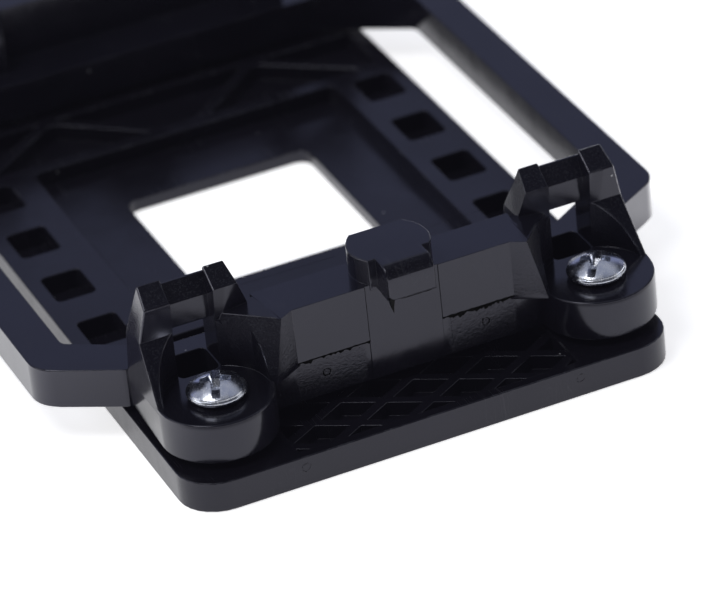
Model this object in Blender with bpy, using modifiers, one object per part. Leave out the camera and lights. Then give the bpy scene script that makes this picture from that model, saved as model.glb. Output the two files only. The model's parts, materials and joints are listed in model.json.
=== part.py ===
"""Desktop processor cooler retention bracket.

A black moulded frame stands on a black moulded backplate, and four
machine screws run down through the frame's corner lugs into threaded
metal inserts held in the backplate.

Frame of reference: the origin is the centre of the four-hole pattern, on the
backplate's underside.  +X runs along the short side of the pattern (48 mm),
+Y along the long side (96 mm), and +Z up out of the backplate towards the
cooler.  The frame is symmetric about X = 0 and Y = 0, so it is modelled as the
+X +Y quarter and mirrored twice.  The backplate's middle is made the same way,
but its two long borders differ: the left (-X) one stands 1.3 mm further out.

In each quarter "inner" means nearer the origin and "outer" further from it.
"""

import math

import bmesh
import bpy
from mathutils import Matrix, Vector

MM = 0.001


def mm_points(*points):
    """A table of points, given in millimetres, in metres."""
    return [tuple(value * MM for value in point) for point in points]


# ---------------------------------------------------------------- dimensions
# four-hole pattern
HOLE_X = 24.0 * MM
HOLE_Y = 48.0 * MM

# quarters and their cutters run past the mirror planes by these amounts
QUARTER_EDGE = -2.0 * MM
CUT_EDGE = -3.0 * MM

# backplate
PLATE_LEFT_X = -31.3 * MM
PLATE_RIGHT_X = 30.0 * MM
PLATE_HALF_Y = 56.4 * MM
PLATE_CORNER_R = 5.0 * MM
PLATE_TOP = 3.86 * MM
PLATE_FLOOR = 1.7 * MM
PLATE_CUT_LOW = -2.0 * MM
PLATE_CUT_TOP = 6.0 * MM
BLANK_X = 34.0 * MM
BLANK_Y = 60.0 * MM
WINDOW_HALF_X = 12.35 * MM
WINDOW_HALF_Y = 12.2 * MM
WINDOW_R = 1.8 * MM
RECESS_HALF_X = 20.7 * MM
RECESS_HALF_Y = 21.8 * MM
RECESS_R = 1.0 * MM
PLATE_RIB = 1.2 * MM

# pockets along the two long borders
POCKET_LAND = 2.05 * MM
POCKET_LENGTH = 5.0 * MM
POCKET_HALF_Y = 3.15 * MM
POCKET_PITCH = 12.0 * MM
POCKET_R = 0.6 * MM
POCKET_FLOOR = 1.1 * MM

# truss band
TRUSS_Y0 = 23.9 * MM
TRUSS_Y1 = 33.6 * MM
TRUSS_LOW_X = 3.0 * MM
TRUSS_HIGH_X = 14.2 * MM
TRUSS_END_X = 26.5 * MM
TRUSS_OUTER_X = 28.0 * MM
TRUSS_FIRST_RISE = 0.2 * MM
TRUSS_SECOND_DROP = 1.3 * MM
TRUSS_THIRD_RISE = 0.6 * MM

# lattice band
LATTICE_Y0 = 35.4 * MM
LATTICE_Y1 = 55.0 * MM
LATTICE_HALF_X = 17.6 * MM
LATTICE_PERIOD = 9.15 * MM
LATTICE_SHIFT = 0.95 * MM
LATTICE_SLOPE = 0.62
LATTICE_CROSS_Y = 52.0 * MM
LATTICE_REACH = 30.0 * MM
LATTICE_RIB_LOW = 0.6 * MM
LATTICE_RIB_TOP = 3.5 * MM
LATTICE_EDGE = -2.6 * MM
LATTICE_OVERLAP = 0.5 * MM

# pocket between the standoff and the truss band: x0, y0, x1, y1, corner radius
SIDE_POCKET = (20.2 * MM, 36.2 * MM, 27.9 * MM, 41.6 * MM, 0.5 * MM)

# standoff and insert seat
STANDOFF_R = 3.7 * MM
STANDOFF_LOW = 2.0 * MM
STANDOFF_TOP = 4.5 * MM
INSERT_HOLE_R = 2.75 * MM
INSERT_HOLE_CUT_TOP = 7.0 * MM
FLANGE_HOLE_R = 3.6 * MM
FLANGE_HOLE_TOP = 1.3 * MM

# frame plate
FRAME_BOTTOM = 4.85 * MM
FRAME_TOP = 9.87 * MM
FRAME_CUT_LOW = 3.0 * MM
RAIL_OUT = 40.1 * MM
RAIL_IN = 35.2 * MM
END_IN_Y = 34.6 * MM
LUG_X = 24.1 * MM
LUG_Y = 47.5 * MM
LUG_R = 6.9 * MM
LUG_SIDE_X = LUG_X + LUG_R
SCREW_HOLE_R = 2.1 * MM
SCREW_HOLE_TOP = 15.0 * MM

# end wall
WALL_TOP = 17.3 * MM
WALL_BACK_Y = 41.2 * MM
WALL_FRONT_Y = 47.3 * MM
WALL_MID_Y = 47.18 * MM
WALL_LOW_Y = 47.05 * MM
WALL_STEP_Z = 10.15 * MM
WALL_MID_HALF_X = 4.6 * MM
WALL_END_X = 16.35 * MM
WALL_BEND_X = 13.66 * MM
WALL_TIP = (15.43 * MM, 48.35 * MM)
WALL_BACK_FRONT_Y = 44.0 * MM
WALL_BACK_Z = (9.0 * MM, 12.0 * MM)
FOOT_X = 13.2 * MM
FOOT_BACK_Y = 42.5 * MM
FOOT_Z = (8.5 * MM, 12.5 * MM)
# the shallow outer face at the middle: (x, y)
WALL_MID_FACE = [(WALL_MID_HALF_X, WALL_MID_Y), (QUARTER_EDGE, WALL_MID_Y)]

# cores sunk from below
WALL_CORE = mm_points(  # (x, y, corner radius)
    (1.0, 42.9, 0.0), (13.4, 42.9, 0.8), (13.4, 45.5, 0.8), (1.0, 45.5, 0.0)
)
WALL_CORE_TOP = 15.4 * MM
END_CORE = (1.0 * MM, 36.2 * MM, 19.9 * MM, 40.6 * MM, 0.6 * MM)  # as SIDE_POCKET
END_CORE_TOP = 8.2 * MM

# clearance for the screwdriver over each screw
DRIVER_R = 6.25 * MM
DRIVER_LOW = 5.0 * MM
DRIVER_TOWER_TOP = 15.9 * MM
DRIVER_WEB_TOP = 22.0 * MM
DRIVER_SIDES = 64

# buttress web
WEB_PLAN = mm_points(  # (x, y)
    (13.0, 41.9), (21.1, 41.9), (21.1, 51.86), (13.66, 47.25), (13.0, 46.84)
)
WEB_Z = (9.5 * MM, 18.5 * MM)
WEB_ROOF = mm_points(  # (x, z) of the waste above the sloping top
    (15.9, 17.31), (22.5, 16.35), (22.5, 20.0), (12.0, 20.0), (12.0, 17.2), (15.3, 17.2)
)
WEB_ROOF_Y = (35.0 * MM, 60.0 * MM)
WEB_FACE_NORMAL = (0.755, 0.605, 0.250)
WEB_FACE_POINT = (*WALL_TIP, 17.24 * MM)
WEB_SLAB_HALF = 20.0 * MM
WEB_SLAB_DEPTH = 12.0 * MM

# central catch
CATCH_R = 4.9 * MM
CATCH_Y = 44.3 * MM
CATCH_BOTTOM = 16.6 * MM
CATCH_TOP = 20.5 * MM
CATCH_BACK_Y = 40.7 * MM
CATCH_FRONT_Y = 47.32 * MM
CATCH_TRIM_HALF_X = 9.0 * MM
CATCH_TRIM_Z = (9.0 * MM, 22.0 * MM)
NOSE_HALF_X = 2.95 * MM
NOSE_ROOT_Y = 44.0 * MM
NOSE_Y = 50.5 * MM
NOSE_BOTTOM = 16.4 * MM
NOSE_ROUND = 1.7 * MM

# hook bridge over the clip window
TOWER_LOW = 9.2
BLOCK_TOP = 22.0
WINDOW_X0 = 21.2 * MM
WINDOW_X1 = 26.4 * MM
BAR_BOTTOM = 15.6 * MM
BAR_OVERLAP = 1.0 * MM
TOWER_SIDE = mm_points(  # (y, z)
    (38.0, TOWER_LOW), (47.8, TOWER_LOW), (42.35, 15.9), (42.85, 20.15),
    (40.1, BLOCK_TOP), (39.0, 18.4), (38.0, 15.1),
)
TOWER_X = (16.0 * MM, 32.0 * MM)
TOWER_FRONT = mm_points(  # (x, z): two legs and a bridge, drawn in towards the top
    (31.0, TOWER_LOW), (30.5, 15.9), (29.15, 22.5), (18.8, 22.5),
    (18.15, 20.05), (17.1, 17.0), (17.1, TOWER_LOW),
) + [
    (WINDOW_X0, TOWER_LOW * MM), (WINDOW_X0, BAR_BOTTOM),
    (WINDOW_X1, BAR_BOTTOM), (WINDOW_X1, TOWER_LOW * MM),
]
TOWER_FRONT_Y = (30.0 * MM, 60.0 * MM)
BAR_ROOM = (34.0 * MM, 12.0 * MM, 49.0 * MM, 24.0 * MM)  # y0, z0, y1, z1
BAR_SIDE = mm_points(  # (y, z)
    (38.45, 15.6), (40.85, 15.6), (40.85, 18.75), (39.75, 21.1), (39.35, 21.1), (38.45, 17.6)
)
OPENING_Y0 = 37.5 * MM
OPENING_Y1 = 42.6 * MM
OPENING_INSET = 0.1 * MM
OPENING_R = 0.8 * MM
OPENING_TOP = 13.0 * MM

# screws (No. 6-32 truss head)
SCREW_R = 1.72 * MM
SCREW_ROOT_R = 1.4 * MM
SCREW_TIP = 0.75 * MM
SCREW_TAPER = 0.5 * MM
HEAD_R = 3.55 * MM
HEAD_BOTTOM = 10.17 * MM
HEAD_RIM = 10.95 * MM
HEAD_TOP = 12.15 * MM
HEAD_DOME_STEPS = 5
HEAD_EDGE_HEIGHT = 0.45 * MM
HEAD_UNDERCUT = 0.35 * MM
SLOT_WIDTH = 0.85 * MM
SLOT_REACH = 5.0 * MM
SLOT_DEPTH = 1.0 * MM
CROSS_WIDTH = 0.95 * MM
CROSS_REACH = 2.0 * MM
CROSS_DEPTH = 1.45 * MM
HEAD_CUT_TOP = 14.0 * MM

# threaded inserts
INSERT_R = 2.55 * MM
INSERT_CHAMFER = 0.2 * MM
INSERT_FLANGE_R = 3.4 * MM
INSERT_BORE_R = 1.87 * MM
INSERT_BOTTOM = 0.35 * MM
INSERT_SHOULDER = 1.05 * MM
INSERT_TOP = 4.35 * MM

# corner name, X side, Y side, how far the screw's slot is turned in degrees
CORNERS = (
    ("near_left", -1, -1, 68.0),
    ("near_right", 1, -1, 53.0),
    ("far_left", -1, 1, 21.0),
    ("far_right", 1, 1, 104.0),
)

TURNED_SIDES = 32
SHARP_ANGLE = 30.0
TIDY_ANGLE = 0.2
OUTLINE_TIDY_ANGLE = 0.05
TINY = 1e-6

# how an outline is stood up before it is moved along its axis
OUTLINE_TURNS = {
    "X": Matrix(((0, 0, 1, 0), (1, 0, 0, 0), (0, 1, 0, 0), (0, 0, 0, 1))),
    "Y": Matrix(((1, 0, 0, 0), (0, 0, -1, 0), (0, 1, 0, 0), (0, 0, 0, 1))),
    "Z": Matrix.Identity(4),
}

# ------------------------------------------------------------------- scene
for old in list(bpy.data.objects):
    bpy.data.objects.remove(old, do_unlink=True)

PARTS = bpy.data.collections.new("cooler_retention_bracket")
CUTTERS = bpy.data.collections.new("cutters")
bpy.context.scene.collection.children.link(PARTS)
bpy.context.scene.collection.children.link(CUTTERS)


def material(name, colour, roughness, metallic):
    made = bpy.data.materials.new(name)
    made.use_nodes = True
    shader = made.node_tree.nodes["Principled BSDF"]
    shader.inputs["Base Color"].default_value = (*colour, 1.0)
    shader.inputs["Roughness"].default_value = roughness
    shader.inputs["Metallic"].default_value = metallic
    made.diffuse_color = (*colour, 1.0)
    return made


BLACK_FRAME = material(
    "black_frame_plastic", colour=(0.012, 0.013, 0.017), roughness=0.24, metallic=0.0
)
BLACK_PLATE = material(
    "black_backplate_plastic", colour=(0.010, 0.010, 0.013), roughness=0.36, metallic=0.0
)
ZINC = material("bright_zinc_steel", colour=(0.62, 0.63, 0.66), roughness=0.22, metallic=1.0)
BRASS = material("insert_brass", colour=(0.72, 0.52, 0.24), roughness=0.30, metallic=1.0)


# ---------------------------------------------------------------- outlines
def rectangle(x0, y0, x1, y1):
    return [(x0, y0), (x1, y0), (x1, y1), (x0, y1)]


def fillet_outline(corners, steps=5):
    """Points round a closed outline of (x, y, radius), each corner rounded by its radius."""
    points = []
    count = len(corners)
    for i, (x, y, radius) in enumerate(corners):
        here = Vector((x, y))
        if radius <= 0:
            points.append(here)
            continue
        to_last = (Vector(corners[i - 1][:2]) - here).normalized()
        to_next = (Vector(corners[(i + 1) % count][:2]) - here).normalized()
        half = to_last.angle(to_next) / 2
        reach = radius / math.tan(half)
        centre = here + (to_last + to_next).normalized() * (radius / math.sin(half))
        start = here + to_last * reach - centre
        sweep = math.pi - 2 * half
        if start.x * to_next.y - start.y * to_next.x < 0:
            sweep = -sweep
        for k in range(steps + 1):
            turn = sweep * k / steps
            cosine, sine = math.cos(turn), math.sin(turn)
            turned_start = (start.x * cosine - start.y * sine, start.x * sine + start.y * cosine)
            points.append(centre + Vector(turned_start))
    return points


def rounded_rectangle(x0, y0, x1, y1, radius, steps):
    return fillet_outline([(x, y, radius) for x, y in rectangle(x0, y0, x1, y1)], steps)


def arc(centre_x, centre_y, radius, start, end, steps):
    """Points on an arc, angles in degrees."""
    turns = [math.radians(start + (end - start) * k / steps) for k in range(steps + 1)]
    return [
        (centre_x + radius * math.cos(turn), centre_y + radius * math.sin(turn))
        for turn in turns
    ]


# ------------------------------------------------------------------ shapes
def add_helper(name, mesh):
    """A working object, kept out of renders."""
    made = bpy.data.objects.new(name, mesh)
    CUTTERS.objects.link(made)
    made.hide_render = True
    made.display_type = "WIRE"
    return made


def helper_from_bmesh(name, shape):
    mesh = bpy.data.meshes.new(name)
    shape.to_mesh(mesh)
    shape.free()
    return add_helper(name, mesh)


def evaluated_mesh(target):
    bpy.context.view_layer.update()
    graph = bpy.context.evaluated_depsgraph_get()
    return bpy.data.meshes.new_from_object(target.evaluated_get(graph))


def prism(name, outlines, low, high, along="Z"):
    """Flat outlines, a filled 2D curve, given the thickness from low to high along an axis.

    Along Z the outline is (x, y); along X it is (y, z); along Y it is (x, z).
    """
    curve = bpy.data.curves.new(name + "_outline", "CURVE")
    curve.dimensions = "2D"
    curve.fill_mode = "BOTH"
    curve.extrude = (high - low) / 2
    for outline in outlines:
        spline = curve.splines.new("POLY")
        spline.points.add(len(outline) - 1)
        for point, at in zip(spline.points, outline):
            point.co = (at[0], at[1], 0.0, 1.0)
        spline.use_cyclic_u = True
    guide = bpy.data.objects.new(name + "_guide", curve)
    CUTTERS.objects.link(guide)
    guide.hide_render = True
    middle = (high + low) / 2
    shift = [middle if axis == along else 0.0 for axis in "XYZ"]
    guide.matrix_world = Matrix.Translation(shift) @ OUTLINE_TURNS[along]
    mesh = evaluated_mesh(guide)
    mesh.transform(guide.matrix_world)
    bpy.data.objects.remove(guide, do_unlink=True)
    made = add_helper(name, mesh)
    # the curve's caps and sides come apart and triangulated
    return tidy(made, OUTLINE_TIDY_ANGLE, merge=TINY, outline=True)


def box(name, low, high):
    shape = bmesh.new()
    bmesh.ops.create_cube(shape, size=1.0)
    low, high = Vector(low), Vector(high)
    for vertex in shape.verts:
        vertex.co = Vector(
            (low[i] + high[i]) / 2 + vertex.co[i] * (high[i] - low[i]) for i in range(3)
        )
    return helper_from_bmesh(name, shape)


def cylinder(name, x, y, radius, low, high, sides):
    shape = bmesh.new()
    bmesh.ops.create_cone(
        shape, cap_ends=True, segments=sides, radius1=radius, radius2=radius, depth=high - low
    )
    bmesh.ops.translate(shape, verts=shape.verts, vec=(x, y, (low + high) / 2))
    return helper_from_bmesh(name, shape)


def turned(name, profile):
    """A turned shape: the profile, (radius, z), spun round Z."""
    shape = bmesh.new()
    points = [shape.verts.new((radius, 0.0, z)) for radius, z in profile]
    for start, end in zip(points, points[1:]):
        shape.edges.new((start, end))
    made = helper_from_bmesh(name, shape)
    spin = made.modifiers.new("turn", "SCREW")
    spin.axis = "Z"
    spin.angle = 2 * math.pi
    spin.steps = TURNED_SIDES
    spin.render_steps = TURNED_SIDES
    spin.use_merge_vertices = True
    spin.merge_threshold = 1e-6
    spin.use_smooth_shade = False
    return bake(made)


# -------------------------------------------------------------- operations
def bake(target):
    """Keeps the evaluated mesh in place of the modifiers."""
    mesh = evaluated_mesh(target)
    target.modifiers.clear()
    old_mesh = target.data
    target.data = mesh
    bpy.data.meshes.remove(old_mesh)
    return target


def combine(target, other, operation):
    """Runs one exact Boolean on the target's mesh and uses up the other object."""
    step = target.modifiers.new(operation.lower(), "BOOLEAN")
    step.operation = operation
    step.solver = "EXACT"
    step.object = other
    bake(target)
    bpy.data.objects.remove(other, do_unlink=True)
    return target


def cut(target, other):
    return combine(target, other, "DIFFERENCE")


def join(target, other):
    return combine(target, other, "UNION")


def keep_inside(target, other):
    return combine(target, other, "INTERSECT")


def tidy(target, angle=TIDY_ANGLE, merge=2 * TINY, outline=False):
    """Merges close points and joins flat neighbouring faces.

    A new outline solid has its normals set; otherwise degenerate edges are dropped.
    """
    shape = bmesh.new()
    shape.from_mesh(target.data)
    bmesh.ops.remove_doubles(shape, verts=shape.verts, dist=merge)
    if not outline:
        bmesh.ops.dissolve_degenerate(shape, dist=TINY, edges=shape.edges)
    bmesh.ops.dissolve_limit(
        shape, angle_limit=math.radians(angle), verts=shape.verts, edges=shape.edges
    )
    if outline:
        bmesh.ops.recalc_face_normals(shape, faces=shape.faces)
    shape.to_mesh(target.data)
    shape.free()
    return target


def make_part(target):
    """Moves a helper to the visible parts."""
    PARTS.objects.link(target)
    CUTTERS.objects.unlink(target)
    target.hide_render = False
    target.display_type = "TEXTURED"


def mirror_quarter(target):
    """The quarter's cut faces lie past X = 0 and Y = 0; the mirror trims them at both planes."""
    both = target.modifiers.new("quarters", "MIRROR")
    both.use_axis = (True, True, False)
    both.use_bisect_axis = (True, True, False)
    both.use_bisect_flip_axis = (False, False, False)
    both.use_clip = True
    both.use_mirror_merge = True
    both.merge_threshold = 5e-6
    both.bisect_threshold = 1e-6


def finish(target, name, paint):
    target.name = name
    target.data.name = name
    target.data.materials.clear()
    target.data.materials.append(paint)
    target.data.shade_smooth()
    target.data.set_sharp_from_angle(angle=math.radians(SHARP_ANGLE))
    return target


# ------------------------------------------------------------ retention frame
def frame_plate():
    """The rail, the end and the corner lug, in one flat plate."""
    outline = fillet_outline(
        [
            (QUARTER_EDGE, END_IN_Y, 0),
            (25.2 * MM, END_IN_Y, 1.2 * MM),
            (RAIL_IN, 27.8 * MM, 1.5 * MM),
            (RAIL_IN, QUARTER_EDGE, 0),
            (RAIL_OUT, QUARTER_EDGE, 0),
            (RAIL_OUT, 31.6 * MM, 4.0 * MM),
            (LUG_SIDE_X, 37.24 * MM, 1.4 * MM),
        ]
    )
    outline += arc(LUG_X, LUG_Y, LUG_R, 0, 180, 28)
    outline += [(LUG_X - LUG_R, WALL_LOW_Y), (WALL_MID_HALF_X, WALL_LOW_Y), *WALL_MID_FACE]
    return prism("frame", [outline], FRAME_BOTTOM, FRAME_TOP)


def add_end_wall(frame):
    foot = [
        (QUARTER_EDGE, FOOT_BACK_Y),
        (FOOT_X, FOOT_BACK_Y),
        (FOOT_X, WALL_LOW_Y),
        (WALL_MID_HALF_X, WALL_LOW_Y),
        *WALL_MID_FACE,
    ]
    join(frame, prism("wall_foot", [foot], *FOOT_Z))
    wall = [
        (QUARTER_EDGE, WALL_BACK_Y),
        (WALL_END_X, WALL_BACK_Y),
        WALL_TIP,
        (WALL_BEND_X, WALL_FRONT_Y),
        (WALL_MID_HALF_X, WALL_FRONT_Y),
        *WALL_MID_FACE,
    ]
    join(frame, prism("wall", [wall], WALL_STEP_Z, WALL_TOP))
    low, high = WALL_BACK_Z
    back = box(
        "wall_back", (QUARTER_EDGE, WALL_BACK_Y, low), (WALL_END_X, WALL_BACK_FRONT_Y, high)
    )
    join(frame, back)


def driver_room(top):
    """The screwdriver's clearance over the screw."""
    return cylinder("driver", HOLE_X, HOLE_Y, DRIVER_R, DRIVER_LOW, top, DRIVER_SIDES)


def buttress():
    """The web that ties the wall's end to the inner leg, hollowed for the screwdriver."""
    web = prism("web", [WEB_PLAN], *WEB_Z)
    cut(web, prism("roof", [WEB_ROOF], *WEB_ROOF_Y, "Y"))
    # leaning outer face
    half = WEB_SLAB_HALF
    slab = box("web_face", (-half, -half, 0), (half, half, WEB_SLAB_DEPTH))
    lean = Vector(WEB_FACE_NORMAL).normalized().to_track_quat("Z", "Y").to_matrix().to_4x4()
    slab.data.transform(Matrix.Translation(WEB_FACE_POINT) @ lean)
    cut(web, slab)
    return cut(web, driver_room(DRIVER_WEB_TOP))


def corner_tower():
    """The hook bridge of the +X +Y corner, before it joins the plate."""
    tower = prism("tower", [TOWER_SIDE], *TOWER_X, "X")
    keep_inside(tower, prism("ends", [TOWER_FRONT], *TOWER_FRONT_Y, "Y"))
    # over the window a thinner bar takes the place of the block
    cut(tower, prism("bar_room", [rectangle(*BAR_ROOM)], WINDOW_X0, WINDOW_X1, "X"))
    bar = prism("bar", [BAR_SIDE], WINDOW_X0 - BAR_OVERLAP, WINDOW_X1 + BAR_OVERLAP, "X")
    join(tower, bar)
    return cut(tower, driver_room(DRIVER_TOWER_TOP))


def central_catch():
    """The catch that the cooler's clip hooks under, whole; the mirror trims it at X = 0."""
    body = cylinder("catch", 0, CATCH_Y, CATCH_R, CATCH_BOTTOM, CATCH_TOP, 56)
    low, high = CATCH_TRIM_Z
    trim = box(
        "catch_trim",
        (-CATCH_TRIM_HALF_X, CATCH_BACK_Y, low),
        (CATCH_TRIM_HALF_X, CATCH_FRONT_Y, high),
    )
    keep_inside(body, trim)
    side_view = [  # (y, z)
        (NOSE_ROOT_Y, NOSE_BOTTOM),
        (NOSE_Y, NOSE_BOTTOM),
        *arc(NOSE_Y - NOSE_ROUND, CATCH_TOP - NOSE_ROUND, NOSE_ROUND, 0, 90, 6),
        (NOSE_ROOT_Y, CATCH_TOP),
    ]
    return join(body, prism("nose", [side_view], -NOSE_HALF_X, NOSE_HALF_X, "X"))


def cut_frame_openings(frame):
    hole = cylinder(
        "screw_hole", HOLE_X, HOLE_Y, SCREW_HOLE_R, FRAME_CUT_LOW, SCREW_HOLE_TOP, 32
    )
    cut(frame, hole)
    # the wall is cored from below, with a rib on the middle
    core = fillet_outline(WALL_CORE, 3)
    end_core = rounded_rectangle(*END_CORE, 3)
    # an opening through the plate under each bar, so that the bar's underside can be moulded
    opening = rounded_rectangle(
        WINDOW_X0 + OPENING_INSET, OPENING_Y0,
        WINDOW_X1 - OPENING_INSET, OPENING_Y1,
        OPENING_R, 4,
    )
    for name, outline, top in (
        ("wall_core", core, WALL_CORE_TOP),
        ("end_core", end_core, END_CORE_TOP),
        ("bar_opening", opening, OPENING_TOP),
    ):
        cut(frame, prism(name, [outline], FRAME_CUT_LOW, top))


def make_frame():
    frame = frame_plate()
    add_end_wall(frame)
    join(frame, buttress())
    join(frame, corner_tower())
    join(frame, central_catch())
    cut_frame_openings(frame)
    tidy(frame)
    make_part(frame)
    mirror_quarter(frame)
    finish(frame, "retention_frame", BLACK_FRAME)


# ------------------------------------------------------------------ backplate
def plate_pocket(plate, name, outline, floor=PLATE_FLOOR):
    """Sinks an outline into the plate from above."""
    cut(plate, prism(name, [outline], floor, PLATE_CUT_TOP))


def middle_corner(half_x, half_y, radius, steps):
    """The quarter of a rectangle centred on the origin, with its one corner rounded."""
    return fillet_outline(
        [
            (CUT_EDGE, CUT_EDGE, 0),
            (half_x, CUT_EDGE, 0),
            (half_x, half_y, radius),
            (CUT_EDGE, half_y, 0),
        ],
        steps,
    )


def sink_truss(plate):
    """Three pockets between diagonal ribs in this quarter."""
    half = PLATE_RIB / 2
    first_y = TRUSS_Y0 + TRUSS_FIRST_RISE
    second_y = TRUSS_Y1 - TRUSS_SECOND_DROP
    third_y = TRUSS_Y0 + TRUSS_THIRD_RISE
    first = [
        (CUT_EDGE, first_y),
        (TRUSS_LOW_X - half, first_y),
        (TRUSS_HIGH_X - 2 * half, TRUSS_Y1),
        (CUT_EDGE, TRUSS_Y1),
    ]
    second = [
        (TRUSS_LOW_X + 2.2 * half, TRUSS_Y0),
        (TRUSS_END_X - 2 * half, TRUSS_Y0),
        (TRUSS_HIGH_X + half, second_y),
        (TRUSS_HIGH_X - half, second_y),
    ]
    third = [
        (TRUSS_HIGH_X + 2.4 * half, TRUSS_Y1),
        (TRUSS_END_X + half, third_y),
        (TRUSS_OUTER_X, third_y),
        (TRUSS_OUTER_X, TRUSS_Y1),
    ]
    for outline in (first, second, third):
        plate_pocket(plate, "truss", outline)


def lattice_rib(start, end):
    """A straight rib between two plan points."""
    along = (end - start).normalized() * PLATE_RIB
    side = Vector((-along.y, along.x)) / 2
    corners = [start + side, start - side, end - side, end + side]
    return prism("lattice_rib", [corners], LATTICE_RIB_LOW, LATTICE_RIB_TOP)


def add_lattice(plate):
    """A trough with crossing ribs, between the standoffs."""
    field = rectangle(CUT_EDGE, LATTICE_Y0, LATTICE_HALF_X, LATTICE_Y1)
    plate_pocket(plate, "trough", field)
    grid = None
    for k in range(-2, 4):
        for sign in (1, -1):
            middle = Vector((sign * (LATTICE_SHIFT + LATTICE_PERIOD * k), LATTICE_CROSS_Y))
            way = Vector((1.0, -sign * LATTICE_SLOPE)).normalized() * LATTICE_REACH
            bar = lattice_rib(middle - way, middle + way)
            grid = bar if grid is None else join(grid, bar)
    limit = rectangle(
        LATTICE_EDGE,
        LATTICE_Y0 - LATTICE_OVERLAP,
        LATTICE_HALF_X + LATTICE_OVERLAP,
        LATTICE_Y1 + LATTICE_OVERLAP,
    )
    keep_inside(grid, prism("lattice_limit", [limit], 0.3 * MM, 5.0 * MM))
    join(plate, grid)


def add_standoff(plate):
    """The standoff and the stepped hole that seats an insert from below."""
    for operate, name, radius, low, high in (
        (join, "standoff", STANDOFF_R, STANDOFF_LOW, STANDOFF_TOP),
        (cut, "insert_hole", INSERT_HOLE_R, PLATE_CUT_LOW, INSERT_HOLE_CUT_TOP),
        (cut, "flange_hole", FLANGE_HOLE_R, PLATE_CUT_LOW, FLANGE_HOLE_TOP),
    ):
        operate(plate, cylinder(name, HOLE_X, HOLE_Y, radius, low, high, 32))


def sink_border_pockets(plate):
    """Four pockets along each long border."""
    left = PLATE_LEFT_X + POCKET_LAND
    right = PLATE_RIGHT_X - POCKET_LAND
    pockets = []
    for x0, x1 in ((left, left + POCKET_LENGTH), (right - POCKET_LENGTH, right)):
        for step in (-1.5, -0.5, 0.5, 1.5):
            y = step * POCKET_PITCH
            pockets.append(
                rounded_rectangle(x0, y - POCKET_HALF_Y, x1, y + POCKET_HALF_Y, POCKET_R, 2)
            )
    cut(plate, prism("pockets", pockets, POCKET_FLOOR, PLATE_CUT_TOP))


def make_backplate():
    blank = rectangle(QUARTER_EDGE, QUARTER_EDGE, BLANK_X, BLANK_Y)
    plate = prism("plate", [blank], 0.0, PLATE_TOP)
    recess = middle_corner(RECESS_HALF_X, RECESS_HALF_Y, RECESS_R, 3)
    plate_pocket(plate, "recess", recess)
    window = middle_corner(WINDOW_HALF_X, WINDOW_HALF_Y, WINDOW_R, 5)
    plate_pocket(plate, "window", window, floor=PLATE_CUT_LOW)
    sink_truss(plate)
    add_lattice(plate)
    plate_pocket(plate, "side_pocket", rounded_rectangle(*SIDE_POCKET, 2))
    add_standoff(plate)
    tidy(plate)
    make_part(plate)
    mirror_quarter(plate)
    bake(plate)

    # the borders differ, so they are shaped after mirroring
    outline = rounded_rectangle(
        PLATE_LEFT_X, -PLATE_HALF_Y, PLATE_RIGHT_X, PLATE_HALF_Y, PLATE_CORNER_R, 7
    )
    keep_inside(plate, prism("outline", [outline], -3.0 * MM, 9.0 * MM))
    sink_border_pockets(plate)
    tidy(plate)
    finish(plate, "backplate", BLACK_PLATE)


# ----------------------------------------------------------- screws, inserts
def make_screw():
    """A truss-head machine screw on its own axis, with a slot and a cross recess."""
    rise = HEAD_TOP - HEAD_RIM
    ball = (HEAD_R**2 + rise**2) / (2 * rise)
    tilt = math.asin(HEAD_R / ball)
    profile = []
    for k in range(HEAD_DOME_STEPS + 1):
        turn = tilt * k / HEAD_DOME_STEPS
        profile.append((ball * math.sin(turn), HEAD_TOP - ball * (1 - math.cos(turn))))
    profile += [
        (HEAD_R, HEAD_RIM - HEAD_EDGE_HEIGHT),
        (HEAD_R - HEAD_UNDERCUT, HEAD_BOTTOM),
        (SCREW_R, HEAD_BOTTOM),
        (SCREW_R, SCREW_TIP + SCREW_TAPER),
        (SCREW_ROOT_R, SCREW_TIP),
        (0.0, SCREW_TIP),
    ]
    screw = turned("screw", profile)
    for name, half_x, half_y, depth in (
        ("slot", SLOT_REACH, SLOT_WIDTH / 2, SLOT_DEPTH),
        ("cross_y", CROSS_WIDTH / 2, CROSS_REACH, CROSS_DEPTH),
        ("cross_x", CROSS_REACH, CROSS_WIDTH / 2, CROSS_DEPTH),
    ):
        floor = HEAD_TOP - depth
        cut(screw, box(name, (-half_x, -half_y, floor), (half_x, half_y, HEAD_CUT_TOP)))
    tidy(screw)
    return finish(screw, "retaining_screw", ZINC)


def make_insert():
    """A flanged threaded insert: open bore, flange at the bottom."""
    profile = [
        (INSERT_BORE_R, INSERT_TOP),
        (INSERT_R - INSERT_CHAMFER, INSERT_TOP),
        (INSERT_R, INSERT_TOP - INSERT_CHAMFER),
        (INSERT_R, INSERT_SHOULDER),
        (INSERT_FLANGE_R, INSERT_SHOULDER),
        (INSERT_FLANGE_R, INSERT_BOTTOM),
        (INSERT_BORE_R, INSERT_BOTTOM),
        (INSERT_BORE_R, INSERT_TOP),
    ]
    return finish(turned("insert", profile), "threaded_insert", BRASS)


def add_on_axis(name, mesh, axis):
    made = bpy.data.objects.new(name, mesh)
    PARTS.objects.link(made)
    made.parent = axis
    return made


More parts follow.
